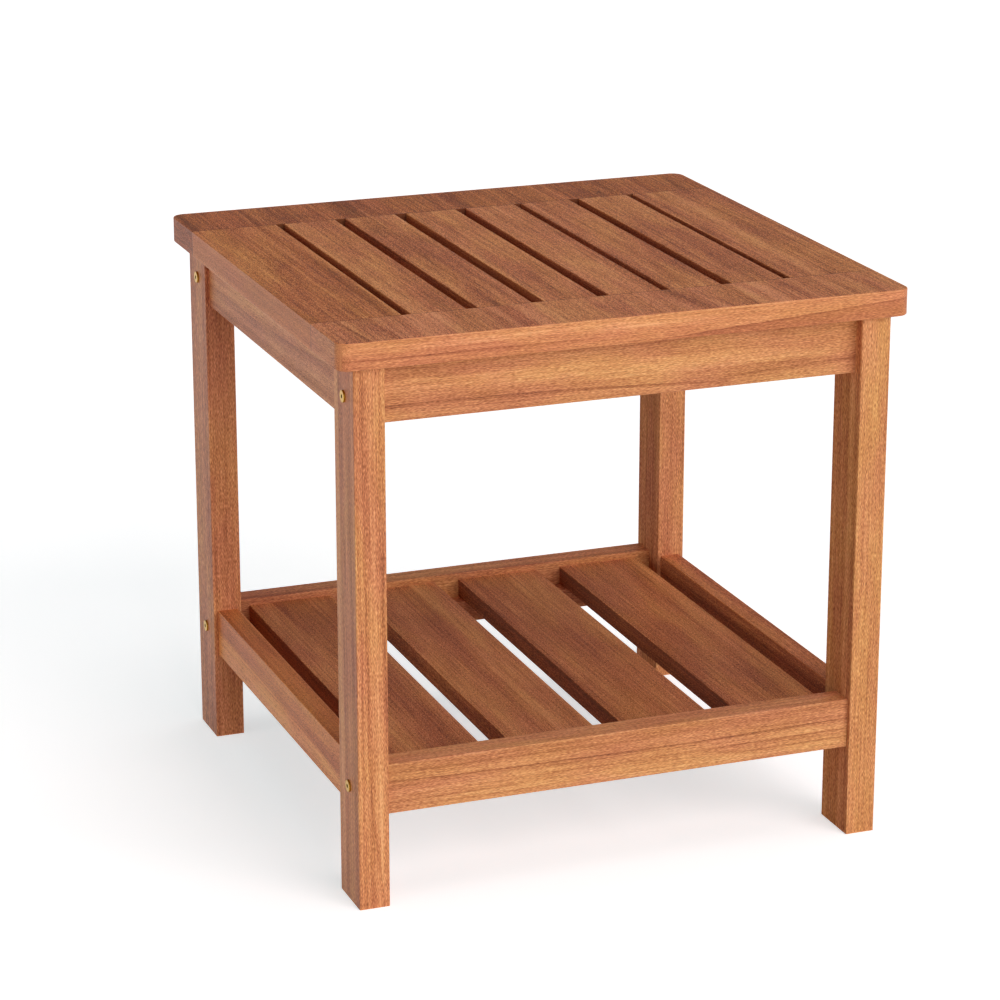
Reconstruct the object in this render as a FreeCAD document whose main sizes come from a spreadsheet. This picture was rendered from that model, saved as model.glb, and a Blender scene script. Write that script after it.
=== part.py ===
import FreeCAD, Part
import os
import Sketcher

# End table with a slatted shelf, made of solid wood boards, dowels, screws and connecting bolts.
# Millimetres. X runs left to right, -Y is the front, Z is up. The origin is on the floor,
# under the centre of the top. Every board is drawn centred on its own origin and then placed.

Vector = FreeCAD.Vector
UP = Vector(0, 0, 1)
SIDES = {"left": -1, "right": 1}    # signs along X
ENDS = {"front": -1, "back": 1}     # signs along Y
TOP_SLATS = 6
SHELF_SLATS = 4
QUARTERS = ("-1 / 4", "1 / 4")      # places across a board, from its middle

SIZES = {
    # the table
    "table_width": 463.0,
    "table_depth": 445.0,
    "table_height": 450.0,
    # the top: two end boards with two outer boards and the slats between them
    "top_thickness": 21.0,
    "top_corner_radius": 10.5,
    "end_board_width": 65.0,
    "outer_board_width": 72.0,
    "slot_1": 7.0,
    "slot_2": 9.0,
    "slot_3": 9.7,
    "slot_4": 9.0,
    "slot_5": 6.0,
    "slot_6": 8.7,
    "slot_7": 5.6,
    "side_overhang": 13.3,
    "end_overhang": 7.4,
    # the legs, left to right and front to back
    "leg_width": 24.5,
    "leg_depth": 45.5,
    # the boards between the legs under the top
    "apron_height": 46.5,
    "apron_thickness": 25.0,
    # the side aprons and side rails
    "side_thickness": 17.7,
    "side_recess": 3.9,
    # the lower frame: the front and back rails have a ledge that carries the shelf
    "rail_underside": 74.2,
    "rail_height": 40.2,
    "rail_thickness": 37.0,
    "shelf_drop": 5.4,
    "shelf_slat_thickness": 16.0,
    "shelf_slat_gap": 22.1,
    "shelf_side_gap": 15.8,
    # the battens under the top slats
    "batten_width": 40.0,
    "batten_thickness": 18.0,
    "batten_spacing": 150.0,
    "batten_end_gap": 0.5,
    "batten_end_margin": 14.0,
    # eased long edges, and the chamfer on board ends that meet another board flush
    "edge_round": 1.0,
    "butt_chamfer": 0.4,
    # connecting bolts through the legs, with a hexagon socket
    "bolt_diameter": 5.0,
    "bolt_length": 60.0,
    "bolt_head_diameter": 9.6,
    "bolt_head_height": 1.5,
    "bolt_head_round": 0.4,
    "bolt_socket": 3.0,
    "bolt_socket_depth": 2.5,
    "bolt_rise": 20.0,
    "bolt_cover": 1.0,
    # wooden dowels
    "dowel_diameter": 8.0,
    "dowel_in_board": 18.0,
    "dowel_cover": 1.5,
    "top_dowel_diameter": 8.0,
    "top_dowel_length": 40.0,
    "dowel_chamfer": 0.8,
    # wood screws driven from below
    "screw_diameter": 4.0,
    "screw_point": 3.0,
    "screw_grip": 11.0,
    "screw_head_diameter": 8.0,
    "screw_head_height": 2.4,
    "screw_slot_width": 1.1,
    "screw_slot_length": 4.4,
    "screw_slot_depth": 1.4,
    "top_screw_seat": 18.0,
    "top_screw_spacing": 120.0,
    # fits
    "hole_clearance": 0.2,
    "end_clearance": 0.5,
}

PLACES = {
    # legs: their centres and the faces that the boards between them meet
    "leg_x": "sizes.table_width / 2 - sizes.side_overhang - sizes.leg_width / 2",
    "leg_y": "sizes.table_depth / 2 - sizes.end_overhang - sizes.leg_depth / 2",
    "leg_height": "sizes.table_height - sizes.top_thickness",
    "leg_z": "leg_height / 2",
    "cross_length": "2 * leg_x - sizes.leg_width",
    "side_length": "2 * leg_y - sizes.leg_depth",
    # boards of the two frames
    "side_x": "leg_x + sizes.leg_width / 2 - sizes.side_recess - sizes.side_thickness / 2",
    "apron_underside": "leg_height - sizes.apron_height",
    "apron_z": "leg_height - sizes.apron_height / 2",
    "rail_z": "sizes.rail_underside + sizes.rail_height / 2",
    # the shelf: the lip stands behind the slat ends and covers the bolts
    "shelf_slat_z": "rail_z + sizes.rail_height / 2 - sizes.shelf_drop - sizes.shelf_slat_thickness / 2",
    "ledge_height": "sizes.rail_height - sizes.shelf_drop - sizes.shelf_slat_thickness",
    "lip": "sizes.rail_thickness / 2 + sizes.bolt_diameter / 2 + sizes.bolt_cover",
    "ledge_width": "sizes.rail_thickness - lip",
    "lip_face_y": "leg_y + sizes.rail_thickness / 2 - lip",
    "ledge_screw_y": "lip_face_y - ledge_width / 2",
    "shelf_width": "2 * side_x - sizes.side_thickness - 2 * sizes.shelf_side_gap",
    "shelf_slat_pitch": f"(shelf_width + sizes.shelf_slat_gap) / {SHELF_SLATS}",
    "shelf_slat_width": "shelf_slat_pitch - sizes.shelf_slat_gap",
    # the top
    "top_z": "sizes.table_height - sizes.top_thickness / 2",
    "end_board_y": "sizes.table_depth / 2 - sizes.end_board_width / 2",
    "slat_length": "sizes.table_depth - 2 * sizes.end_board_width",
    "outer_board_x": "sizes.table_width / 2 - sizes.outer_board_width / 2",
    "slots": "sizes.slot_1 + sizes.slot_2 + sizes.slot_3 + sizes.slot_4"
             " + sizes.slot_5 + sizes.slot_6 + sizes.slot_7",
    "slat_width": f"(sizes.table_width - 2 * sizes.outer_board_width - slots) / {TOP_SLATS}",
    # the battens end just short of the side aprons
    "batten_length": "2 * (side_x - sizes.side_thickness / 2 - sizes.batten_end_gap)",
    "batten_z": "leg_height - sizes.batten_thickness / 2",
    "batten_y": "sizes.batten_spacing / 2",
    "batten_end_x": "batten_length / 2 - sizes.batten_end_margin",
    # bolts and the dowels beside them
    "apron_bolt_z": "apron_underside + sizes.bolt_rise",
    "rail_bolt_z": "sizes.rail_underside + sizes.bolt_rise",
    "apron_dowel_z": "(apron_bolt_z + leg_height) / 2",
    "rail_dowel_z": "sizes.rail_underside + (sizes.bolt_rise - sizes.bolt_diameter / 2) / 2",
    "bolt_pilot": "sizes.bolt_length - sizes.leg_width + sizes.end_clearance",
    # dowels: how deep they go, their lengths and their holes
    "locating_in_leg": "sizes.leg_width / 2",
    "locating_length": "locating_in_leg + sizes.dowel_in_board",
    "side_in_leg": "(sizes.leg_depth - sizes.dowel_diameter) / 2 - sizes.dowel_cover",
    "side_dowel_length": "side_in_leg + sizes.dowel_in_board",
    "top_dowel_hole": "sizes.top_dowel_length / 2 + sizes.end_clearance",
    "dowel_hole": "sizes.dowel_in_board + sizes.end_clearance",
    # screws
    "batten_shank": "sizes.batten_thickness - sizes.screw_head_height + sizes.screw_grip",
    "shelf_shank": "ledge_height - sizes.screw_head_height + sizes.screw_grip",
    "top_shank": "sizes.top_screw_seat + sizes.screw_grip",
    "screw_pilot": "sizes.screw_grip + sizes.end_clearance",
    "top_counterbore": "sizes.apron_height - sizes.top_screw_seat",
    # holes for round things
    "bolt_bore": "sizes.bolt_diameter + sizes.hole_clearance",
    "dowel_bore": "sizes.dowel_diameter + sizes.hole_clearance",
    "top_dowel_bore": "sizes.top_dowel_diameter + sizes.hole_clearance",
    "screw_bore": "sizes.screw_diameter + sizes.hole_clearance",
    "screw_head_bore": "sizes.screw_head_diameter + sizes.hole_clearance",
}
PLACES["slat_1_x"] = "sizes.slot_1 + slat_width / 2 - sizes.table_width / 2 + sizes.outer_board_width"
for number in range(2, TOP_SLATS + 1):
    PLACES[f"slat_{number}_x"] = f"slat_{number - 1}_x + slat_width + sizes.slot_{number}"

doc = FreeCAD.newDocument("end_table")
nodes = []


def fill_sheet(name, rows, lead=""):
    sheet = doc.addObject("Spreadsheet::Sheet", name)
    for row, (alias, content) in enumerate(rows.items(), start=1):
        sheet.set(f"A{row}", alias)
        sheet.set(f"B{row}", f"{lead}{content}")
        sheet.setAlias(f"B{row}", alias)
    doc.recompute()
    return sheet


sizes = fill_sheet("sizes", SIZES)
places = fill_sheet("places", PLACES, lead="=")


def value(formula):
    return float(sizes.evalExpression(formula))


# Bodies and sketches

def origin_plane(body, role):
    return next(feature for feature in body.Origin.OriginFeatures if feature.Role == role)


def new_body(name, at=("0", "0", "0")):
    body = doc.addObject("PartDesign::Body", name)
    body.Label = name
    for axis, formula in zip("xyz", at):
        body.setExpression(f"Placement.Base.{axis}", formula)
    return body


def new_sketch(body, name, role, offset="0"):
    sketch = body.newObject("Sketcher::SketchObject", name)
    sketch.AttachmentSupport = [(origin_plane(body, role), "")]
    sketch.MapMode = "FlatFace"
    sketch.setExpression("AttachmentOffset.Base.z", offset)
    return sketch


def bind(sketch, kind, formula, *ends):
    index = sketch.addConstraint(Sketcher.Constraint(kind, *ends, value(formula)))
    sketch.setExpression(f"Constraints[{index}]", formula)


def hold_point(sketch, geometry, vertex, across, along):
    """Hold a point by its distances from the origin, or on an axis where a distance is zero."""
    for kind, formula, axis in (("DistanceX", across, -2), ("DistanceY", along, -1)):
        if formula == "0":
            sketch.addConstraint(Sketcher.Constraint("PointOnObject", geometry, vertex, axis))
        else:
            bind(sketch, kind, formula, -1, 1, geometry, vertex)


def draw_outline(sketch, points):
    """Close straight lines through points."""
    corners = [Vector(value(across), value(along), 0) for across, along in points]
    lines = [sketch.addGeometry(Part.LineSegment(start, stop), False)
             for start, stop in zip(corners, corners[1:] + corners[:1])]
    for line, following in zip(lines, lines[1:] + lines[:1]):
        sketch.addConstraint(Sketcher.Constraint("Coincident", line, 2, following, 1))
    for line, (across, along) in zip(lines, points):
        hold_point(sketch, line, 1, across, along)


def rectangle(across, along):
    """The corners of a rectangle centred on the origin."""
    return [(f"{i} * ({across}) / 2", f"{j} * ({along}) / 2")
            for i, j in ((-1, -1), (1, -1), (1, 1), (-1, 1))]


def pad_both_ways(body, name, sketch, length):
    pad = body.newObject("PartDesign::Pad", name)
    pad.Profile = sketch
    pad.Midplane = True
    pad.setExpression("Length", length)
    doc.recompute()
    return pad


def new_board(name, size, at):
    """A straight board centred at a point; its size is left to right, front to back, up."""
    body = new_body(name, at)
    outline = new_sketch(body, f"{name}_outline", "XY_Plane")
    draw_outline(outline, rectangle(size[0], size[1]))
    pad_both_ways(body, f"{name}_pad", outline, size[2])
    nodes.append(body)
    return body


def dress_edges(body, name, kind, size, chosen):
    """Fillet or chamfer the edges of the body's last feature that the rule chooses."""
    base = body.Tip
    names = [f"Edge{number}" for number, edge in enumerate(base.Shape.Edges, start=1) if chosen(edge)]
    dressed = body.newObject(f"PartDesign::{kind}", name)
    dressed.Base = (base, names)
    dressed.setExpression({"Fillet": "Radius", "Chamfer": "Size"}[kind], size)
    doc.recompute()


def round_edges(body, name, radius, chosen):
    dress_edges(body, name, "Fillet", radius, chosen)


def runs_along(direction):
    def chosen(edge):
        return abs(edge.tangentAt(edge.FirstParameter).dot(direction)) > 0.999
    return chosen


def ease_along(body, direction):
    round_edges(body, f"{body.Name}_eased", "sizes.edge_round", runs_along(direction))


# Round holes: a face is named by the axis it looks along and its sign; the sketch plane that
# is square to that axis gives the two coordinates of each hole, and the sign of its own normal

DRILL_PLANES = {"x": ("YZ_Plane", 1), "y": ("XZ_Plane", -1), "z": ("XY_Plane", 1)}


def drill(body, name, axis, sign, face, diameter, depth, spots):
    """Holes into the face that stands `face` from the middle, on the side given by `sign`."""
    role, normal = DRILL_PLANES[axis]
    sketch = new_sketch(body, f"{name}_spots", role, f"{sign * normal} * ({face})")
    for across, along in spots:
        centre = Vector(value(across), value(along), 0)
        circle = sketch.addGeometry(Part.Circle(centre, UP, value(diameter) / 2), False)
        hold_point(sketch, circle, 3, across, along)
        bind(sketch, "Diameter", diameter, circle)
    pocket = body.newObject("PartDesign::Pocket", name)
    pocket.Profile = sketch
    pocket.setExpression("Length", depth)
    pocket.Reversed = sign * normal < 0
    doc.recompute()


def from_middle(place, middle):
    return f"{place} - {middle}"


# Legs

side_dowel_heights = [f"places.{board}_z + sizes.{board}_height * {share}"
                      for board in ("apron", "rail") for share in QUARTERS]
bolt_heights = ("places.apron_bolt_z", "places.rail_bolt_z")
locating_heights = ("places.apron_dowel_z", "places.rail_dowel_z")


def make_leg(name, side, end):
    leg = new_board(name, ("sizes.leg_width", "sizes.leg_depth", "places.leg_height"),
                    (f"{side} * places.leg_x", f"{end} * places.leg_y", "places.leg_z"))
    ease_along(leg, UP)
    drill(leg, f"{name}_bolt_holes", "x", side, "sizes.leg_width / 2", "places.bolt_bore",
          "sizes.leg_width", [("0", from_middle(z, "places.leg_z")) for z in bolt_heights])
    drill(leg, f"{name}_locating_holes", "x", -side, "sizes.leg_width / 2", "places.dowel_bore",
          "places.locating_in_leg + sizes.end_clearance",
          [("0", from_middle(z, "places.leg_z")) for z in locating_heights])
    drill(leg, f"{name}_side_holes", "y", -end, "sizes.leg_depth / 2", "places.dowel_bore",
          "places.side_in_leg + sizes.end_clearance",
          [(f"{side} * (places.side_x - places.leg_x)", from_middle(z, "places.leg_z"))
           for z in side_dowel_heights])


for side_name, side in SIDES.items():
    for end_name, end in ENDS.items():
        make_leg(f"leg_{end_name}_{side_name}", side, end)


# Front and back aprons, and the side aprons and side rails

top_screw_spots = ("-1 * sizes.top_screw_spacing", "0", "sizes.top_screw_spacing")


def drill_bolted_ends(board, middle_z, bolt_z, dowel_z):
    """The bolt pilot and the locating dowel hole in both ends of a board between two legs."""
    for side_name, side in SIDES.items():
        drill(board, f"{board.Name}_pilot_{side_name}", "x", side, "places.cross_length / 2",
              "places.bolt_bore", "places.bolt_pilot", [("0", from_middle(bolt_z, middle_z))])
        drill(board, f"{board.Name}_locating_{side_name}", "x", side, "places.cross_length / 2",
              "places.dowel_bore", "places.dowel_hole", [("0", from_middle(dowel_z, middle_z))])


def make_apron(name, end):
    apron = new_board(name, ("places.cross_length", "sizes.apron_thickness", "sizes.apron_height"),
                      ("0", f"{end} * places.leg_y", "places.apron_z"))
    ease_along(apron, Vector(1, 0, 0))
    drill_bolted_ends(apron, "places.apron_z", "places.apron_bolt_z", "places.apron_dowel_z")
    drill(apron, f"{name}_counterbores", "z", -1, "sizes.apron_height / 2",
          "places.screw_head_bore", "places.top_counterbore", [(x, "0") for x in top_screw_spots])
    drill(apron, f"{name}_screw_holes", "z", 1, "sizes.apron_height / 2",
          "places.screw_bore", "sizes.top_screw_seat", [(x, "0") for x in top_screw_spots])


def make_side_board(name, side, kind):
    height = f"sizes.{kind}_height"
    board = new_board(name, ("sizes.side_thickness", "places.side_length", height),
                      (f"{side} * places.side_x", "0", f"places.{kind}_z"))
    ease_along(board, Vector(0, 1, 0))
    for end_name, end in ENDS.items():
        drill(board, f"{name}_dowels_{end_name}", "y", end, "places.side_length / 2",
              "places.dowel_bore", "places.dowel_hole", [("0", f"{height} * {share}") for share in QUARTERS])


for end_name, end in ENDS.items():
    make_apron(f"apron_{end_name}", end)
for side_name, side in SIDES.items():
    make_side_board(f"apron_{side_name}", side, "apron")
    make_side_board(f"side_rail_{side_name}", side, "rail")


# Shelf rails with their ledge, and the shelf slats that lie on it

shelf_slat_places = [f"{index - (SHELF_SLATS - 1) / 2} * places.shelf_slat_pitch"
                     for index in range(SHELF_SLATS)]
shelf_screw_places = [f"{x} + places.shelf_slat_width * {share}"
                      for x in shelf_slat_places for share in QUARTERS]


def make_shelf_rail(name, end):
    rail = new_body(name, ("0", f"{end} * places.leg_y", "places.rail_z"))
    outer = f"{end} * sizes.rail_thickness / 2"
    lip = f"{end} * (sizes.rail_thickness / 2 - places.lip)"
    inner = f"{-end} * sizes.rail_thickness / 2"
    underside = "-1 * sizes.rail_height / 2"
    ledge = "places.ledge_height - sizes.rail_height / 2"
    profile = new_sketch(rail, f"{name}_profile", "YZ_Plane")
    draw_outline(profile, [(outer, underside), (inner, underside), (inner, ledge),
                           (lip, ledge), (lip, "sizes.rail_height / 2"), (outer, "sizes.rail_height / 2")])
    pad_both_ways(rail, f"{name}_pad", profile, "places.cross_length")
    nodes.append(rail)

    def outward(edge):
        """The long edges, but for the inner corner of the rebate."""
        middle = edge.CenterOfMass
        in_corner = abs(middle.y - value(lip)) < 0.01 and abs(middle.z - value(ledge)) < 0.01
        return runs_along(Vector(1, 0, 0))(edge) and not in_corner

    round_edges(rail, f"{name}_eased", "sizes.edge_round", outward)
    drill_bolted_ends(rail, "places.rail_z", "places.rail_bolt_z", "places.rail_dowel_z")
    screw_y = f"{end} * (places.ledge_screw_y - places.leg_y)"
    drill(rail, f"{name}_counterbores", "z", -1, "sizes.rail_height / 2",
          "places.screw_head_bore", "sizes.screw_head_height", [(x, screw_y) for x in shelf_screw_places])
    drill(rail, f"{name}_screw_holes", "z", -1, "sizes.rail_height / 2",
          "places.screw_bore", "places.ledge_height", [(x, screw_y) for x in shelf_screw_places])


def make_shelf_slat(name, x):
    slat = new_board(name, ("places.shelf_slat_width", "2 * places.lip_face_y", "sizes.shelf_slat_thickness"),
                     (x, "0", "places.shelf_slat_z"))
    ease_along(slat, Vector(0, 1, 0))
    drill(slat, f"{name}_pilots", "z", -1, "sizes.shelf_slat_thickness / 2",
          "places.screw_bore", "places.screw_pilot",
          [(f"places.shelf_slat_width * {share}", f"{end} * places.ledge_screw_y")
           for share in QUARTERS for end in ENDS.values()])


for end_name, end in ENDS.items():
    make_shelf_rail(f"shelf_rail_{end_name}", end)
for index, x in enumerate(shelf_slat_places, start=1):
    make_shelf_slat(f"shelf_slat_{index}", x)


# The top: end boards, outer boards and slats. Each board between the end boards has its middle
# and its width here, and two dowels at each end

long_boards = {f"top_slat_{number}": (f"places.slat_{number}_x", "places.slat_width")
               for number in range(1, TOP_SLATS + 1)}
for side_name, side in SIDES.items():
    long_boards[f"top_board_{side_name}"] = (f"{side} * places.outer_board_x", "sizes.outer_board_width")
batten_screw_places = {name: x for name, (x, width) in long_boards.items()}
for side_name, side in SIDES.items():
    batten_screw_places[f"top_board_{side_name}"] = f"{side} * places.batten_end_x"
dowel_places = [f"{x} + {width} * {share}" for x, width in long_boards.values() for share in QUARTERS]


def make_long_board(name, x, width):
    board = new_board(name, (width, "places.slat_length", "sizes.top_thickness"), (x, "0", "places.top_z"))
    dress_edges(board, f"{name}_ends", "Chamfer", "sizes.butt_chamfer", runs_along(Vector(1, 0, 0)))
    ease_along(board, Vector(0, 1, 0))
    for end_name, end in ENDS.items():
        drill(board, f"{name}_dowels_{end_name}", "y", end, "places.slat_length / 2",
              "places.top_dowel_bore", "places.top_dowel_hole", [(f"{width} * {share}", "0") for share in QUARTERS])
    screw_x = "0" if batten_screw_places[name] == x else f"{batten_screw_places[name]} - ({x})"
    drill(board, f"{name}_pilots", "z", -1, "sizes.top_thickness / 2", "places.screw_bore",
          "places.screw_pilot", [(screw_x, f"{end} * places.batten_y") for end in ENDS.values()])


def make_end_board(name, end):
    board = new_board(name, ("sizes.table_width", "sizes.end_board_width", "sizes.top_thickness"),
                      ("0", f"{end} * places.end_board_y", "places.top_z"))
    inner_y = -end * value("sizes.end_board_width") / 2

    def is_inner(edge):
        return abs(edge.CenterOfMass.y - inner_y) < 0.01

    def outer_corner(edge):
        return runs_along(UP)(edge) and not is_inner(edge)

    def outer_rim(edge):
        on_face = abs(abs(edge.CenterOfMass.z) - value("sizes.top_thickness") / 2) < 0.01
        return on_face and not is_inner(edge)

    round_edges(board, f"{name}_corners", "sizes.top_corner_radius", outer_corner)
    round_edges(board, f"{name}_eased", "sizes.edge_round", outer_rim)
    drill(board, f"{name}_dowels", "y", -end, "sizes.end_board_width / 2",
          "places.top_dowel_bore", "places.top_dowel_hole", [(x, "0") for x in dowel_places])
    drill(board, f"{name}_pilots", "z", -1, "sizes.top_thickness / 2", "places.screw_bore",
          "places.screw_pilot", [(x, f"{end} * (places.leg_y - places.end_board_y)") for x in top_screw_spots])


def make_batten(name, end):
    batten = new_board(name, ("places.batten_length", "sizes.batten_width", "sizes.batten_thickness"),
                       ("0", f"{end} * places.batten_y", "places.batten_z"))
    ease_along(batten, Vector(1, 0, 0))
    spots = [(x, "0") for x in batten_screw_places.values()]
    drill(batten, f"{name}_counterbores", "z", -1, "sizes.batten_thickness / 2",
          "places.screw_head_bore", "sizes.screw_head_height", spots)
    drill(batten, f"{name}_screw_holes", "z", -1, "sizes.batten_thickness / 2",
          "places.screw_bore", "sizes.batten_thickness", spots)


for name, (x, width) in long_boards.items():
    make_long_board(name, x, width)
for end_name, end in ENDS.items():
    make_end_board(f"top_board_{end_name}", end)
    make_batten(f"top_batten_{end_name}", end)


# Fasteners: each kind is turned once, standing along Z, and a node links it wherever it is used

def turn(name, half_profile):
    """A turned body; its half profile is drawn on XZ, with the first and last points on the axis."""
    body = new_body(name)
    sketch = new_sketch(body, f"{name}_profile", "XZ_Plane")
    draw_outline(sketch, half_profile)
    turned = body.newObject("PartDesign::Revolution", f"{name}_turned")
    turned.Profile = sketch
    turned.ReferenceAxis = (sketch, ["V_Axis"])
    turned.Angle = 360
    doc.recompute()
    return body


def make_dowel(name, diameter, length):
    """A dowel from 0 up to its length, with chamfered ends."""
    radius = f"{diameter} / 2"
    neck = f"{radius} - sizes.dowel_chamfer"
    return turn(name, [("0", "0"), (neck, "0"), (radius, "sizes.dowel_chamfer"),
                       (radius, f"{length} - sizes.dowel_chamfer"), (neck, length), ("0", length)])


def cut_socket(body, name, points, depth, underside):
    """A pocket upward from the underside of a head."""
    sketch = new_sketch(body, f"{name}_outline", "XY_Plane", underside)
    draw_outline(sketch, points)
    pocket = body.newObject("PartDesign::Pocket", name)
    pocket.Profile = sketch
    pocket.setExpression("Length", depth)
    pocket.Reversed = True
    doc.recompute()


def make_bolt(name):
    """A connecting bolt with its shank up from 0 and its head below, with a hexagon socket."""
    radius = "sizes.bolt_diameter / 2"
    head = "sizes.bolt_head_diameter / 2"
    bolt = turn(name, [("0", "-1 * sizes.bolt_head_height"), (head, "-1 * sizes.bolt_head_height"),
                       (head, "0"), (radius, "0"),
                       (radius, f"sizes.bolt_length - {radius}"), ("0", "sizes.bolt_length")])
    rim = -value("sizes.bolt_head_height")

    def head_rim(edge):
        return abs(edge.BoundBox.ZMin - rim) < 0.01 and abs(edge.BoundBox.ZMax - rim) < 0.01

    round_edges(bolt, f"{name}_rim", "sizes.bolt_head_round", head_rim)
    flat = "sizes.bolt_socket / 2"
    point = f"{flat} / cos(30)"
    hexagon = [(point, "0"), (f"{point} / 2", flat), (f"-1 * {point} / 2", flat),
               (f"-1 * {point}", "0"), (f"-1 * {point} / 2", f"-1 * {flat}"), (f"{point} / 2", f"-1 * {flat}")]
    cut_socket(bolt, f"{name}_socket", hexagon, "sizes.bolt_socket_depth", "-1 * sizes.bolt_head_height")
    return bolt


def make_screw(name, shank):
    """A wood screw with its shank up from 0 and its flat head below, with a cross slot."""
    radius = "sizes.screw_diameter / 2"
    head = "sizes.screw_head_diameter / 2"
    screw = turn(name, [("0", "-1 * sizes.screw_head_height"), (head, "-1 * sizes.screw_head_height"),
                        (head, "0"), (radius, "0"), (radius, f"{shank} - sizes.screw_point"), ("0", shank)])
    wide = "sizes.screw_slot_length / 2"
    thin = "sizes.screw_slot_width / 2"
    cross = [(wide, thin), (thin, thin), (thin, wide), (f"-1 * {thin}", wide), (f"-1 * {thin}", thin),
             (f"-1 * {wide}", thin), (f"-1 * {wide}", f"-1 * {thin}"), (f"-1 * {thin}", f"-1 * {thin}"),
             (f"-1 * {thin}", f"-1 * {wide}"), (thin, f"-1 * {wide}"), (thin, f"-1 * {thin}"),
             (wide, f"-1 * {thin}")]
    cut_socket(screw, f"{name}_slot", cross, "sizes.screw_slot_depth", "-1 * sizes.screw_head_height")
    return screw


def group(name, master, spots):
    """One node of like fasteners; a spot is a point and the direction that the master's Z takes."""
    links = []
    for x, y, z, direction in spots:
        link = doc.addObject("App::Link", f"{name}_link")
        link.LinkedObject = master
        link.Placement.Rotation = FreeCAD.Rotation(UP, direction)
        for axis, formula in zip("xyz", (x, y, z)):
            link.setExpression(f"Placement.Base.{axis}", formula)
        links.append(link)
    node = doc.addObject("Part::Compound", name)
    node.Label = name
    node.Links = links
    nodes.append(node)


corners = [(side, end) for side in SIDES.values() for end in ENDS.values()]
bolt = make_bolt("connecting_bolt")
for kind, height in zip(("apron", "shelf"), bolt_heights):
    group(f"{kind}_bolts", bolt, [(f"{side} * (places.leg_x + sizes.leg_width / 2)", f"{end} * places.leg_y",
                                   height, Vector(-side, 0, 0)) for side, end in corners])

locating_dowel = make_dowel("locating_dowel", "sizes.dowel_diameter", "places.locating_length")
locating_x = "places.leg_x - sizes.leg_width / 2 + places.locating_in_leg"
for kind, height in zip(("apron", "shelf"), locating_heights):
    group(f"{kind}_locating_dowels", locating_dowel, [(f"{side} * ({locating_x})", f"{end} * places.leg_y",
                                                       height, Vector(-side, 0, 0)) for side, end in corners])

side_dowel = make_dowel("side_dowel", "sizes.dowel_diameter", "places.side_dowel_length")
side_dowel_y = "places.side_length / 2 + places.side_in_leg"
group("side_frame_dowels", side_dowel, [(f"{side} * places.side_x", f"{end} * ({side_dowel_y})",
                                         height, Vector(0, -end, 0))
                                        for side, end in corners for height in side_dowel_heights])

top_dowel = make_dowel("top_dowel", "sizes.top_dowel_diameter", "sizes.top_dowel_length")
top_dowel_y = "(places.slat_length + sizes.top_dowel_length) / 2"
group("top_dowels", top_dowel, [(x, f"{end} * {top_dowel_y}", "places.top_z", Vector(0, -end, 0))
                                for end in ENDS.values() for x in dowel_places])

top_screw_z = "places.leg_height - sizes.top_screw_seat"
group("top_screws", make_screw("top_screw", "places.top_shank"),
      [(x, f"{end} * places.leg_y", top_screw_z, UP) for end in ENDS.values() for x in top_screw_spots])

batten_screw_z = "places.leg_height - sizes.batten_thickness + sizes.screw_head_height"
group("batten_screws", make_screw("batten_screw", "places.batten_shank"),
      [(x, f"{end} * places.batten_y", batten_screw_z, UP)
       for end in ENDS.values() for x in batten_screw_places.values()])

group("shelf_slat_screws", make_screw("shelf_screw", "places.shelf_shank"),
      [(x, f"{end} * places.ledge_screw_y", "sizes.rail_underside + sizes.screw_head_height", UP)
       for end in ENDS.values() for x in shelf_screw_places])

doc.recompute()


# Checks, then one STEP file for each node

for item in doc.Objects:
    if "Invalid" in item.State or "Error" in item.State:
        raise RuntimeError(f"{item.Label} did not recompute: {item.State}")
    if item.TypeId == "PartDesign::Pocket" and item.Shape.Volume > item.BaseFeature.Shape.Volume - 1:
        raise RuntimeError(f"{item.Label} cuts nothing")
for node in nodes:
    if node.Shape.isNull() or not node.Shape.isValid():
        raise RuntimeError(f"{node.Label} has no valid shape")

os.makedirs("parts", exist_ok=True)
for node in nodes:
    node.Shape.exportStep(f"parts/{node.Label}.step")
    box = node.Shape.optimalBoundingBox()
    print(f"{node.Label}: {len(node.Shape.Solids)} solids, {box.XLength:.1f} x {box.YLength:.1f} x {box.ZLength:.1f}")
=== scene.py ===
import math

import bpy
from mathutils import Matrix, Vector


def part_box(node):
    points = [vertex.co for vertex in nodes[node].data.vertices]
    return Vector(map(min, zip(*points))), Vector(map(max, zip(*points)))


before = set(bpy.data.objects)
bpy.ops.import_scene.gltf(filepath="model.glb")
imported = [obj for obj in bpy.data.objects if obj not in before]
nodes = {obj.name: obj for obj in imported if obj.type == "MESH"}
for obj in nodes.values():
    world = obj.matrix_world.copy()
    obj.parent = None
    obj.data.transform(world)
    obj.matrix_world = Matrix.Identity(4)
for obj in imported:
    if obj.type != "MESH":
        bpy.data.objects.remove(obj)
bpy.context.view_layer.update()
print("frame loaded:", len(nodes), "nodes")


metre = 1000  # mm


# shader maths

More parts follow.
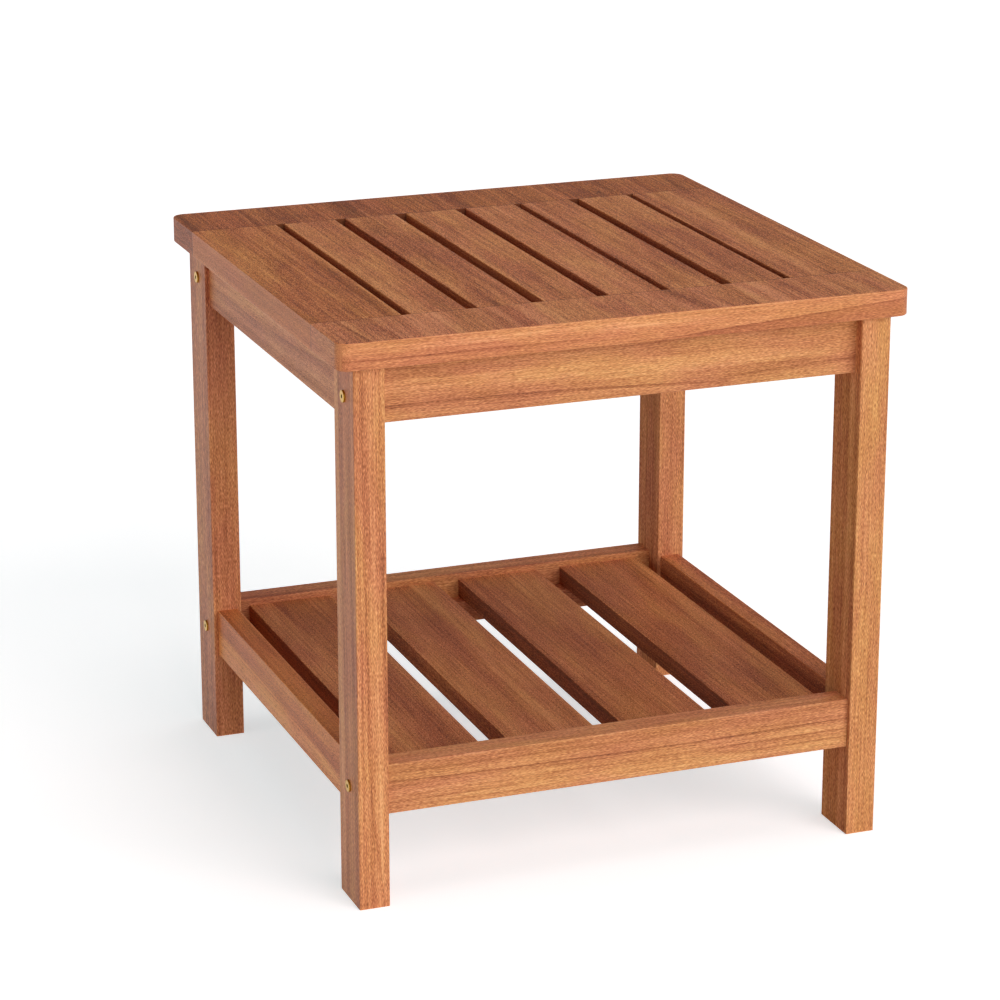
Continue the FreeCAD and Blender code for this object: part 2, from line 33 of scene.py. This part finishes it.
class Wire:  # a shader socket that takes part in Python sums
    def __init__(self, tree, socket):
        self.tree = tree
        self.socket = socket

    def maths(self, operation, *terms):
        return self.tree.add("ShaderNodeMath", {"operation": operation}, dict(enumerate(terms)))

    def __add__(self, other):
        return self.maths("ADD", self, other)

    def __radd__(self, other):
        return self.maths("ADD", other, self)

    def __sub__(self, other):
        return self.maths("SUBTRACT", self, other)

    def __rsub__(self, other):
        return self.maths("SUBTRACT", other, self)

    def __mul__(self, other):
        return self.maths("MULTIPLY", self, other)

    def __rmul__(self, other):
        return self.maths("MULTIPLY", other, self)

    def __truediv__(self, other):
        return self.maths("DIVIDE", self, other)

    def __abs__(self):
        return self.maths("ABSOLUTE", self)

    def root(self):
        return self.maths("SQRT", self)

    def least(self, other):
        return self.maths("MINIMUM", self, other)

    def most(self, other):
        return self.maths("MAXIMUM", self, other)

    def between(self, low, high):  # 0 at low, 1 at high, smooth between
        sockets = {"Value": self, "From Min": low, "From Max": high}
        return self.tree.add("ShaderNodeMapRange", {"interpolation_type": "SMOOTHSTEP"}, sockets)


class Tree:  # the nodes of a material or of the world
    def __init__(self, owner):
        owner.use_nodes = True
        self.owner = owner
        self.links = owner.node_tree.links
        self.nodes = owner.node_tree.nodes

    def add(self, kind, settings, sockets, output=0):
        node = self.nodes.new(kind)
        for key, setting in settings.items():
            if key == "stops":
                self.layStops(node.color_ramp.elements, setting)
            else:
                setattr(node, key, setting)
        for key, source in sockets.items():
            self.feed(node.inputs[key], source)
        return Wire(self, node.outputs[output])

    def layStops(self, elements, stops):
        while len(elements) < len(stops):
            elements.new(1.0)
        for element, (place, colour) in zip(elements, stops):
            element.position = place
            element.color = (*colour, 1.0)

    def feed(self, socket, source):
        if isinstance(source, Wire):
            self.links.new(source.socket, socket)
        elif isinstance(source, tuple) and len(source) == 3 and len(socket.default_value) == 4:
            socket.default_value = (*source, 1.0)
        else:
            socket.default_value = source

    def ramp(self, share, stops):
        return self.add("ShaderNodeValToRGB", {"stops": stops}, {0: share})

    def blend(self, share, first, second, kind="MIX"):  # colours
        settings = {"data_type": "RGBA", "blend_type": kind}
        return self.add("ShaderNodeMix", settings, {0: share, 6: first, 7: second}, 2)

    def washed(self, colour, wash):
        return self.blend(1.0, colour, wash, "MULTIPLY")

    def either(self, share, first, second):  # numbers
        return self.add("ShaderNodeMix", {"data_type": "FLOAT"}, {0: share, 2: first, 3: second})

    def point(self, *parts):
        return self.add("ShaderNodeCombineXYZ", {}, dict(enumerate(parts)))

    def parts(self, vector):
        first = self.add("ShaderNodeSeparateXYZ", {}, {0: vector})
        return [Wire(self, output) for output in first.socket.node.outputs]

    def noise(self, place, detail, roughness=0.55):  # evenly about 0
        sockets = {"Vector": place, "Scale": 1.0, "Detail": detail, "Roughness": roughness}
        return self.add("ShaderNodeTexNoise", {}, sockets) - 0.5

    def noiseAlong(self, number, detail, roughness=0.62):
        sockets = {"W": number, "Scale": 1.0, "Detail": detail, "Roughness": roughness}
        return self.add("ShaderNodeTexNoise", {"noise_dimensions": "1D"}, sockets) - 0.5

    def millimetres(self):
        here = self.add("ShaderNodeTexCoord", {}, {}, "Object")
        return [part * metre for part in self.parts(here)]

    def facing(self, letter, low=0.6, high=0.75):  # 1 on faces square to this axis
        normal = self.add("ShaderNodeNewGeometry", {}, {}, "Normal")
        return abs(self.parts(normal)["xyz".index(letter)]).between(low, high)

    def bump(self, strength, distance, height):
        sockets = {"Strength": strength, "Distance": distance, "Height": height}
        return self.add("ShaderNodeBump", {}, sockets)


# wood: every board is a cut from a log, so its figure comes from rings round a pith line beside it

hardwood = {
    "tones": [(0.0, (0.165, 0.058, 0.028)), (0.3, (0.410, 0.127, 0.052)),
              (0.6, (0.620, 0.232, 0.094)), (0.85, (0.790, 0.355, 0.150)), (1.0, (0.870, 0.450, 0.205))],
    "pink": (1.02, 0.955, 1.06),
    "straw": (1.0, 1.02, 0.93),
    "hueSpread": (-0.2, 0.2),
    "pore": (0.50, 0.40, 0.36),
    "poreCut": (0.10, 0.22),  # the pores are the peaks of their figure
    "poreShare": 0.6,
    "ringWidth": 9.0,         # mm
    "ringDetail": 4.0,
    "ringWander": 0.5,        # share of the wander that runs into the face
    "veinWander": 0.25,
    "veinWiggle": 1.5,        # mm
    "veinDepth": 1.2,
    "veinBreaks": 2.0,        # how much the streaks break up a vein
    "roughness": 0.43,
    "poreRoughness": 0.15,
    "bandGloss": 0.12,
    "wearGloss": 0.06,
    "innerRoughness": 0.4,    # more than elsewhere
    "innerFade": 10.0,        # mm
    "specular": 0.19,
    "bump": (0.35, 0.00015),  # strength, metres
    "grainRelief": 0.5,
    "edgeWearAndHighlight": (0.3, 1.6),   # mm from the arris
    "wearAndHighlightTone": 0.08,
    "endTone": -0.16,
    "seamTone": -0.42,
    "seamWidth": (0.3, 0.9),  # mm
    "seedStep": 31.7,         # sets one board's figures apart from the next one's
    # noise figures: mm along and across the grain, detail
    "streaks": (120.0, 1.9, 2.0),
    "fibres": (36.0, 0.6, 2.0),
    "flecks": (2.8, 0.40, 0.0),
    "blotches": (120.0, 26.0, 2.0),
    "wander": (210.0, 55.0, 1.0),
    "hue": (90.0, 21.0, 2.0),
    "pores": (5.0, 0.3, 0.0),
    # shares of the figures in the tone
    "streakShare": 0.50,
    "otherShares": {"fibres": 0.62, "flecks": 1.05, "blotches": 0.45},
}
# a vein is one dark line in a board, or a pale one where dark is below 0: where it crosses the board's
# middle, how it leans and bows, how wide it is above and below, and where it starts and ends
plainVein = {"lean": 0.0, "bow": 0.0, "above": 0.9, "below": 1.8, "span": (-300.0, 300.0)}
veinStretch = 100  # mm of the board for each mm of lean or bow
veinFade = 22.0    # mm, at each end


# millimetres from the board's middle: along the grain, across it and into the face
def boardPlace(tree, node, cut):
    low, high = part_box(node)
    middle = (low + high) / 2 * metre
    axes = {name: part - centre for name, part, centre in zip("xyz", tree.millimetres(), middle)}
    place = [axes[name] for name in cut["lie"]]
    edge = 0.0
    if "edgeLie" in cut:  # the long edges show grain that runs along the board
        edge = tree.facing("y")
        place = [tree.either(edge, first, axes[name]) for first, name in zip(place, cut["edgeLie"])]
    return axes, place, edge


def arrisWearAndHighlight(node, axes):  # 1 on the arrises, which are paler: partly wear, partly a painted highlight
    low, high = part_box(node)
    halves = (high - low) / 2 * metre
    gaps = [half - abs(axes[name]) for name, half in zip("xyz", halves)]
    nearer = gaps[0].least(gaps[1])
    further = gaps[0].most(gaps[1])
    second = nearer.most(further.least(gaps[2]))
    return 1 - second.between(*hardwood["edgeWearAndHighlight"])


def veinTone(along, across, veins):
    total = 0.0
    for vein in veins:
        vein = {**plainVein, **vein}
        start, stop = vein["span"]
        reach = along / veinStretch
        off = across - vein["at"] - reach * (vein["lean"] + reach * vein["bow"])
        line = off.between(-vein["below"], 0.0) * (1 - off.between(0.0, vein["above"]))
        begun = along.between(start - veinFade, start + veinFade)
        ended = along.between(stop - veinFade, stop + veinFade)
        total = line * (begun * (1 - ended)) * -vein["dark"] + total
    return total


def woodFinish(node, cut):
    tree = Tree(bpy.data.materials.new(f"oiled_hardwood_{node}"))
    axes, (along, across, deep), edge = boardPlace(tree, node, cut)
    start = cut["seed"] * hardwood["seedStep"]

    def figure(name):
        length, width, detail = hardwood[name]
        place = tree.point(along / length + start, across / width + start, deep / width)
        return tree.noise(place, detail)

    pithAcross, pithDeep = cut["pith"]
    wander = figure("wander") * cut["wander"]
    sideways = across - pithAcross + along * cut["lean"] + wander
    inward = deep - pithDeep + wander * hardwood["ringWander"]
    ring = (sideways * sideways + inward * inward).root()
    bands = tree.noiseAlong(ring / hardwood["ringWidth"] + start, hardwood["ringDetail"])
    streaks = figure("streaks")
    others = sum(figure(name) * share for name, share in hardwood["otherShares"].items())
    grain = streaks * hardwood["streakShare"] + others
    if "flatGrain" in cut:  # one strength on the faces above and below, another on the rest
        grain = grain * tree.either(tree.facing("z"), cut["edgeGrain"], cut["flatGrain"])
    pores = figure("pores").between(*hardwood["poreCut"])
    wearAndHighlight = arrisWearAndHighlight(node, axes)

    tone = cut["tone"] + bands * cut["bands"] + grain
    if "veins" in cut:
        drift = across + wander * hardwood["veinWander"] + streaks * hardwood["veinWiggle"]
        veins = veinTone(along, drift, cut["veins"])
        if "edgeVeins" in cut:
            veins = tree.either(edge, veins, veinTone(along, drift, cut["edgeVeins"]))
        tone = tone + veins * (hardwood["veinDepth"] + streaks * hardwood["veinBreaks"])
    # paler arrises: partly wear, partly a painted highlight
    tone = tone + wearAndHighlight * hardwood["wearAndHighlightTone"]
    roughness = hardwood["roughness"] + pores * hardwood["poreRoughness"]
    roughness = roughness - bands * hardwood["bandGloss"] - wearAndHighlight * hardwood["wearGloss"]
    if "edgeLie" not in cut:
        tone = tone + tree.facing(cut["lie"][0]) * hardwood["endTone"]
    if "flatFaceLight" in cut:  # painted light: the long narrow faces above and below are paler
        tone = tone + tree.facing("z") * cut["flatFaceLight"]
    for name, limit in cut.get("inner", {}).items():  # inner faces are rough, and get painted shade: a darker tone for the shade in slots, gaps and under the table
        offset = abs(tree.millimetres()["xyz".index(name)])
        shadedRoughInner = tree.facing(name) * (1 - offset.between(limit, limit + hardwood["innerFade"]))
        # painted shade: the inner faces are made darker
        tone = tone + shadedRoughInner * cut["innerShade"]
        roughness = roughness + shadedRoughInner * hardwood["innerRoughness"]
    if "seam" in cut:  # dark oil in the fine groove of a butt joint
        groove = 1 - abs(abs(tree.millimetres()[1]) - cut["seam"]).between(*hardwood["seamWidth"])
        tone = tone + groove * hardwood["seamTone"]
    colour = tree.ramp(tone, hardwood["tones"])
    tint = tree.blend(figure("hue").between(*hardwood["hueSpread"]), hardwood["pink"], hardwood["straw"])
    tinted = tree.washed(colour, tint)
    if "wash" in cut:
        tinted = tree.washed(tinted, cut["wash"])
    if "flatLightWash" in cut:  # a further wash on the faces above and below: painted light and shade, for how light and sheen fall on them
        tinted = tree.blend(tree.facing("z"), tinted, tree.washed(tinted, cut["flatLightWash"]))
    pored = tree.blend(pores * hardwood["poreShare"], tinted, tree.washed(tinted, hardwood["pore"]))

    shader = tree.nodes["Principled BSDF"].inputs
    tree.feed(shader["Base Color"], pored)
    tree.feed(shader["Roughness"], roughness)
    tree.feed(shader["Normal"], tree.bump(*hardwood["bump"], grain * hardwood["grainRelief"] - pores))
    tree.feed(shader["Specular IOR Level"], hardwood["specular"])
    return tree.owner


def dress(node, finish):
    slots = nodes[node].data.materials
    slots.clear()
    slots.append(finish)


def cutBoards(kind, boards):
    for node, cut in boards.items():
        dress(node, woodFinish(node, {**kind, **cut}))


# in a cut, lie gives the axes along the grain, across it and into the face, pith is where the pith line
# passes in mm across and into the face, wander is in mm, and inner faces lie nearer the table's middle
# than the given mm

# legs

legs = {"lie": "zxy", "wander": 5.0, "bands": 0.7, "flatGrain": 1.0, "edgeGrain": 1.12,
        "inner": {"x": 200.0}, "innerShade": -0.10}
frontLeftVeins = [
    {"at": 8.5, "dark": 0.17, "above": 2.5, "below": 1.6, "span": (-10.0, 70.0)},
    {"at": 10.0, "dark": 0.15, "above": 3.0, "below": 1.4, "span": (-80.0, 10.0)},
    {"at": -2.5, "dark": -0.12, "above": 1.6, "span": (0.0, 75.0)},
    {"at": 6.0, "dark": -0.12, "above": 1.6, "span": (125.0, 195.0)},
    {"at": 6.5, "dark": -0.12, "above": 3.0, "below": 3.0, "span": (-200.0, -95.0)},
    {"at": -13.4, "lean": -10.0, "dark": 0.15, "below": 3.0, "span": (-230.0, -125.0)},
]
legCuts = {
    "leg_front_left": {"seed": 1, "tone": 0.58, "pith": (60.0, -48.0), "lean": 0.012, "bands": 0.9,
                       "wash": (1.0, 1.01, 0.96), "veins": frontLeftVeins},
    "leg_front_right": {"seed": 2, "tone": 0.66, "pith": (-30.0, 70.0), "lean": -0.008, "bands": 0.6,
                        "wash": (0.98, 1.03, 0.90),
                        "veins": [{"at": 5.0, "lean": 2.0, "dark": 0.08, "span": (-130.0, 0.0)}]},
    # the back left leg's tone is set a little lower, as painted shade
    "leg_back_left": {"seed": 3, "tone": 0.54, "pith": (45.0, 80.0), "lean": 0.010},
    "leg_back_right": {"seed": 4, "tone": 0.57, "pith": (-50.0, 60.0), "lean": -0.012,
                       "wash": (1.0, 1.05, 1.02)},
}
cutBoards(legs, legCuts)
print("legs finished")

# front and back boards between the legs

crossBoards = {"lie": "xzy", "wander": 7.0, "bands": 0.55, "flatGrain": 1.3, "edgeGrain": 0.9,
               "wash": (0.98, 1.03, 0.98), "flatFaceLight": 0.12, "flatLightWash": (1.08, 0.99, 1.05)}
apronVeins = [
    {"at": -13.8, "lean": -4.3, "bow": -1.4, "dark": 0.20, "below": 2.6, "span": (-210.0, 72.0)},
    {"at": -23.9, "lean": 12.8, "bow": -3.2, "dark": 0.15, "below": 2.2, "span": (92.0, 210.0)},
    {"at": -8.0, "dark": 0.09, "above": 4.0, "below": 3.0, "span": (-150.0, -45.0)},
    {"at": -16.8, "dark": 0.12, "above": 0.6, "below": 1.2, "span": (-112.0, -68.0)},
    {"at": -4.5, "dark": -0.09, "above": 5.0, "below": 5.0, "span": (-10.0, 180.0)},
]
railVeins = [
    {"at": 2.9, "lean": -0.3, "bow": 0.7, "dark": 0.27, "above": 0.8, "below": 1.8},
    {"at": 0.4, "dark": 0.14, "above": 0.6, "below": 1.2, "span": (-80.0, 70.0)},
    {"at": -5.3, "lean": 0.6, "dark": 0.16, "above": 0.8, "below": 1.4, "span": (0.0, 210.0)},
    {"at": -11.6, "lean": 0.4, "dark": 0.20, "above": 1.0, "below": 1.5, "span": (95.0, 210.0)},
    {"at": -10.3, "lean": 0.5, "dark": 0.17, "above": 0.8, "below": 1.5, "span": (-200.0, -85.0)},
    {"at": -15.5, "dark": 0.15, "above": 1.0, "below": 2.4, "span": (-210.0, -60.0)},
    {"at": 11.7, "lean": -0.8, "dark": 0.13, "above": 0.8, "below": 1.6, "span": (-200.0, 20.0)},
    {"at": 7.0, "lean": 0.5, "dark": 0.08, "above": 0.8, "below": 1.6, "span": (40.0, 210.0)},
    {"at": -2.0, "dark": -0.10, "above": 3.0, "below": 3.0, "span": (105.0, 178.0)},
]
crossCuts = {
    "apron_front": {"seed": 5, "tone": 0.60, "pith": (38.0, 52.0), "lean": 0.010, "bands": 0.4,
                    "veins": apronVeins},
    "apron_back": {"seed": 6, "tone": 0.57, "pith": (-40.0, 60.0), "lean": -0.008},
    "shelf_rail_front": {"seed": 7, "tone": 0.60, "pith": (46.0, 44.0), "lean": -0.012, "veins": railVeins},
    # the back shelf rail's tone is set lower as painted shade
    "shelf_rail_back": {"seed": 8, "tone": 0.49, "pith": (30.0, 70.0), "lean": 0.010},
}
cutBoards(crossBoards, crossCuts)
print("cross boards finished")

# side boards

sideBoards = {"lie": "yzx", "wander": 6.0, "bands": 0.6, "inner": {"x": 202.0}, "innerShade": -0.18}
leftApronVeins = [
    {"at": -2.0, "lean": -4.0, "bow": 2.0, "dark": 0.14, "above": 1.2, "below": 12.0},
    {"at": 9.0, "lean": 1.0, "dark": -0.07, "above": 8.0, "below": 6.0, "span": (-60.0, 200.0)},
]
leftRailVeins = [
    {"at": 3.0, "lean": 3.0, "bow": -2.0, "dark": 0.12, "above": 14.0, "below": 1.0},
    {"at": -1.0, "lean": 3.0, "bow": -2.0, "dark": -0.14, "above": 1.0, "below": 26.0},
]
sideCuts = {
    "apron_left": {"seed": 9, "tone": 0.57, "pith": (40.0, 60.0), "lean": 0.010, "veins": leftApronVeins},
    "apron_right": {"seed": 10, "tone": 0.56, "pith": (-40.0, -60.0), "lean": -0.010},
    "side_rail_left": {"seed": 11, "tone": 0.65, "pith": (42.0, 50.0), "lean": 0.012,
                       "wash": (1.08, 0.93, 0.68), "veins": leftRailVeins},
    "side_rail_right": {"seed": 12, "tone": 0.50, "pith": (-45.0, -55.0), "lean": 0.008,
                        "wash": (1.04, 0.93, 0.84)},
}
cutBoards(sideBoards, sideCuts)
print("side boards finished")

# shelf

shelfBoards = {"lie": "yxz", "wander": 9.0, "bands": 0.6, "flatGrain": 1.3, "edgeGrain": 0.9,
               "wash": (1.03, 0.97, 0.88), "inner": {"x": 200.0}, "innerShade": -0.32}
shelfCuts = {
    "shelf_slat_1": {"seed": 13, "tone": 0.56, "pith": (12.0, -60.0), "lean": 0.020,
                     # slat 1 is darker over most of its width along its back half, with a sharp leaning
                     # edge
                     "veins": [{"at": -6.0, "lean": -5.5, "dark": 0.14, "above": 45.0, "below": 1.2,
                                "span": (0.0, 300.0)}]},
    "shelf_slat_2": {"seed": 14, "tone": 0.61, "pith": (-20.0, -70.0), "lean": -0.015},
    "shelf_slat_3": {"seed": 15, "tone": 0.53, "pith": (30.0, -55.0), "lean": 0.012},
    "shelf_slat_4": {"seed": 16, "tone": 0.50, "pith": (-8.0, -65.0), "lean": -0.020},
}
cutBoards(shelfBoards, shelfCuts)
print("shelf finished")

# top

topBoards = {"lie": "yxz", "wander": 9.0, "bands": 0.65, "flatGrain": 1.65, "edgeGrain": 0.75,
             "wash": (1.05, 0.94, 0.84), "inner": {"x": 165.0, "y": 165.0}, "innerShade": -0.22,
             "seam": 157.5}
frontBoardVeins = [
    {"at": -165.0, "dark": -0.06, "above": 75.0, "below": 55.0},
    {"at": -209.5, "lean": -11.0, "dark": 0.30, "above": 2.0, "below": 3.5},
    {"at": -122.0, "dark": 0.22, "above": 3.0, "below": 4.0, "span": (0.0, 60.0)},
    {"at": 60.0, "lean": -16.0, "dark": 0.20, "above": 7.0, "below": 9.0, "span": (-20.0, 60.0)},
    {"at": 78.0, "lean": -22.0, "dark": 0.14, "above": 1.5, "below": 6.0, "span": (-60.0, 30.0)},
]
frontEdgeVeins = [
    {"at": -3.5, "lean": -0.2, "dark": 0.22, "above": 0.8, "below": 1.8, "span": (-250.0, -30.0)},
    {"at": -10.8, "lean": 6.5, "dark": 0.12, "above": 0.7, "below": 1.4, "span": (35.0, 250.0)},
    {"at": -10.8, "lean": 6.5, "dark": 0.17, "above": 0.6, "below": 24.0, "span": (35.0, 250.0)},
    {"at": 4.0, "dark": -0.13, "above": 4.0, "below": 4.0, "span": (-250.0, 60.0)},
]
topCuts = {
    "top_board_left": {"seed": 17, "tone": 0.54, "pith": (-30.0, -70.0), "lean": 0.015,
                       "wash": (1.05, 0.96, 0.79), "flatLightWash": (0.94, 0.88, 0.80)},
    "top_board_right": {"seed": 18, "tone": 0.53, "pith": (25.0, -60.0), "lean": -0.015,
                        "veins": [{"at": 2.0, "lean": 1.5, "dark": 0.13},
                                  {"at": 16.0, "lean": -1.0, "dark": 0.10}]},
    "top_board_front": {"seed": 19, "tone": 0.60, "pith": (10.0, -80.0), "lean": 0.030, "edgeLie": "xzy",
                        "wash": (1.01, 0.98, 0.95), "flatLightWash": (1.03, 0.93, 0.92),
                        "veins": frontBoardVeins, "edgeVeins": frontEdgeVeins},
    "top_board_back": {"seed": 20, "tone": 0.31, "pith": (-40.0, -70.0), "lean": -0.030, "edgeLie": "xzy",
                       "wash": (1.03, 0.87, 0.70)},
    "top_slat_1": {"seed": 21, "tone": 0.56, "pith": (15.0, -60.0), "lean": 0.010},
    "top_slat_2": {"seed": 22, "tone": 0.55, "pith": (-20.0, -70.0), "lean": -0.012},
    "top_slat_3": {"seed": 23, "tone": 0.56, "pith": (18.0, -55.0), "lean": 0.014},
    "top_slat_4": {"seed": 24, "tone": 0.56, "pith": (-12.0, -75.0), "lean": -0.010},
    "top_slat_5": {"seed": 25, "tone": 0.54, "pith": (22.0, -65.0), "lean": 0.012},
    "top_slat_6": {"seed": 26, "tone": 0.53, "pith": (-16.0, -60.0), "lean": -0.014},
}
cutBoards(topBoards, topCuts)
print("top finished")

# battens under the top

battens = {"lie": "xyz", "wander": 6.0, "bands": 0.9}
battenCuts = {
    "top_batten_front": {"seed": 27, "tone": 0.50, "pith": (20.0, -60.0), "lean": 0.010},
    "top_batten_back": {"seed": 28, "tone": 0.52, "pith": (-20.0, -60.0), "lean": -0.010},
}
cutBoards(battens, battenCuts)
print("battens finished")

# fasteners

metal = {
    "cloudDetail": 3.0,
    "cloudRoughness": 0.3,
    "gritDetail": 2.0,
    "gritCount": 6,           # in each mm
    "bump": (0.3, 0.00003),   # strength, metres
}
brass = {
    "colour": (0.50, 0.28, 0.035),
    "worn": (0.74, 0.46, 0.10),
    "socketShade": (0.10, 0.052, 0.012),
    "socketShadeShare": 0.85,
    "roughness": 0.30,
    "headRadius": 4.8,        # mm
    "socket": (1.2, 1.8),     # mm from the bolt's axis
    "rim": (2.9, 4.6),
    "rimShare": 0.9,
}
zinc = {"colour": (0.58, 0.58, 0.55), "worn": (0.70, 0.69, 0.64), "roughness": 0.36}
beech = {
    "tones": [(0.0, (0.50, 0.33, 0.19)), (1.0, (0.72, 0.54, 0.35))],
    "fibreSize": (6, 6, 0.6),  # mm
    "fibreDetail": 3.0,
    "roughness": 0.55,
    "fibreRoughness": 0.2,
    "bump": (0.3, 0.0001),     # strength, metres
}


def metalFinish(name, look):
    tree = Tree(bpy.data.materials.new(name))
    place = tree.millimetres()
    clouds = tree.noise(tree.point(*place), metal["cloudDetail"])
    finer = [part * metal["gritCount"] for part in place]
    grit = tree.noise(tree.point(*finer), metal["gritDetail"])
    shader = tree.nodes["Principled BSDF"].inputs
    colour = tree.blend(clouds + 0.5, look["colour"], look["worn"])
    tree.feed(shader["Base Color"], colour)
    tree.feed(shader["Roughness"], look["roughness"] + clouds * metal["cloudRoughness"])
    tree.feed(shader["Normal"], tree.bump(*metal["bump"], grit))
    tree.feed(shader["Metallic"], 1.0)
    return tree, colour


def boltFinish(node):  # painted shade in the socket, and deeper in colour at the rim of the head
    tree, colour = metalFinish(f"brass_{node}", brass)
    low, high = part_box(node)
    y, z = tree.millimetres()[1:]
    aside = abs(y) - (high.y * metre - brass["headRadius"])
    above = z - (low.z + high.z) / 2 * metre
    fromAxis = (aside * aside + above * above).root()
    # painted shade: the socket is darkened
    hollow = 1 - fromAxis.between(*brass["socket"])
    rimmed = tree.blend(fromAxis.between(*brass["rim"]) * brass["rimShare"], colour, brass["colour"])
    shader = tree.nodes["Principled BSDF"].inputs
    tree.feed(shader["Base Color"], tree.blend(hollow * brass["socketShadeShare"], rimmed, brass["socketShade"]))
    return tree.owner


def dowelFinish(name, look):
    tree = Tree(bpy.data.materials.new(name))
    place = [part / size for part, size in zip(tree.millimetres(), look["fibreSize"])]
    fibres = tree.noise(tree.point(*place), look["fibreDetail"]) + 0.5
    shader = tree.nodes["Principled BSDF"].inputs
    tree.feed(shader["Base Color"], tree.ramp(fibres, look["tones"]))
    tree.feed(shader["Roughness"], look["roughness"] + fibres * look["fibreRoughness"])
    tree.feed(shader["Normal"], tree.bump(*look["bump"], fibres))
    return tree.owner


dowelWood = dowelFinish("beech_dowel", beech)
for kind in ("apron", "shelf"):
    dress(f"{kind}_bolts", boltFinish(f"{kind}_bolts"))
    dress(f"{kind}_locating_dowels", dowelWood)
for node in ("side_frame_dowels", "top_dowels"):
    dress(node, dowelWood)
screwFinish = metalFinish("zinc_plating", zinc)[0].owner
for node in ("top_screws", "batten_screws", "shelf_slat_screws"):
    dress(node, screwFinish)
print("fasteners finished")

# studio: a floor that looks white, light at the horizon that fades upward, and three soft lamps

studio = {
    "floorReach": 30.0,                   # metres each way
    "floorBounce": (0.88, 0.88, 0.88),    # what lights the table from below
    "floorColour": (0.975, 0.825, 0.80),  # as seen: with the glow it keeps the shadow grey under red wood
    "glowColour": (0.902, 1.065, 1.098),
    "floorGlow": 0.54,
    "horizon": 0.9,                       # light from level with the floor
    "overhead": 0.15,
    "fade": (0.04, 0.16),                 # sine of the height between the two
    "lampPlace": 3.0,                     # metres away, which changes nothing in a sun's light
}
# lamps: degrees to the right of the table's front, degrees up, strength and apparent width in degrees
lamps = {
    "front": {"turn": 20.0, "rise": 20.0, "strength": 2.25, "width": 56.0},
    "top": {"turn": 90.0, "rise": 76.0, "strength": 0.62, "width": 45.0},
    "left": {"turn": -80.0, "rise": 8.0, "strength": 0.60, "width": 50.0},
}


def makeFloor():
    reach = studio["floorReach"]
    corners = [(-reach, -reach, 0), (reach, -reach, 0), (reach, reach, 0), (-reach, reach, 0)]
    mesh = bpy.data.meshes.new("studio_floor")
    mesh.from_pydata(corners, [], [(0, 1, 2, 3)])
    floor = bpy.data.objects.new("studio_floor", mesh)
    bpy.context.scene.collection.objects.link(floor)
    tree = Tree(bpy.data.materials.new("white_floor"))
    plain = tree.add("ShaderNodeBsdfDiffuse", {}, {"Color": studio["floorBounce"]})
    tinted = tree.add("ShaderNodeBsdfDiffuse", {}, {"Color": studio["floorColour"]})
    shine = {"Color": studio["glowColour"], "Strength": studio["floorGlow"]}
    glow = tree.add("ShaderNodeEmission", {}, shine)
    bright = tree.add("ShaderNodeAddShader", {}, {0: tinted, 1: glow})
    seen = tree.add("ShaderNodeLightPath", {}, {}, "Is Camera Ray")
    rays = seen.socket.node.outputs
    shown = seen + Wire(tree, rays["Is Glossy Ray"]) + Wire(tree, rays["Is Transmission Ray"])
    surface = tree.add("ShaderNodeMixShader", {}, {0: shown, 1: plain, 2: bright})
    below = tree.add("ShaderNodeNewGeometry", {}, {}, "Backfacing")
    clear = tree.add("ShaderNodeBsdfTransparent", {}, {})
    sided = tree.add("ShaderNodeMixShader", {}, {0: below, 1: surface, 2: clear})
    tree.feed(tree.nodes["Material Output"].inputs["Surface"], sided)
    mesh.materials.append(tree.owner)


def makeWorld():
    tree = Tree(bpy.data.worlds.new("studio"))
    direction = tree.add("ShaderNodeTexCoord", {}, {}, "Generated")
    rise = tree.parts(direction)[2].between(*studio["fade"])
    level = tree.either(rise, studio["horizon"], studio["overhead"])
    tree.feed(tree.nodes["Background"].inputs["Color"], tree.point(level, level, level))
    bpy.context.scene.world = tree.owner


def makeLamp(name, lamp):
    turn = math.radians(lamp["turn"])
    rise = math.radians(lamp["rise"])
    away = Vector((math.sin(turn) * math.cos(rise), -math.cos(turn) * math.cos(rise), math.sin(rise)))
    light = bpy.data.lights.new(name, "SUN")
    light.energy = lamp["strength"]
    light.angle = math.radians(lamp["width"])
    thing = bpy.data.objects.new(name, light)
    thing.location = away * studio["lampPlace"]
    thing.rotation_euler = away.to_track_quat("Z", "Y").to_euler()
    bpy.context.scene.collection.objects.link(thing)


view = {
    "place": (-0.98166, -2.51553, 1.10406),
    "turn": 20.886,  # degrees, from straight ahead to the right
    "tip": 17.744,   # degrees below level
    "lens": 124.6,   # mm
    "sensor": 36.0,  # mm
}


def makeCamera():
    data = bpy.data.cameras.new("camera")
    data.lens = view["lens"]
    data.sensor_width = view["sensor"]
    camera = bpy.data.objects.new("camera", data)
    camera.location = view["place"]
    camera.rotation_euler = (math.radians(90 - view["tip"]), 0, math.radians(-view["turn"]))
    bpy.context.scene.collection.objects.link(camera)
    bpy.context.scene.camera = camera


makeFloor()
makeWorld()
for name, lamp in lamps.items():
    makeLamp(name, lamp)
makeCamera()
bpy.context.scene.view_settings.view_transform = "Standard"
print("studio set")
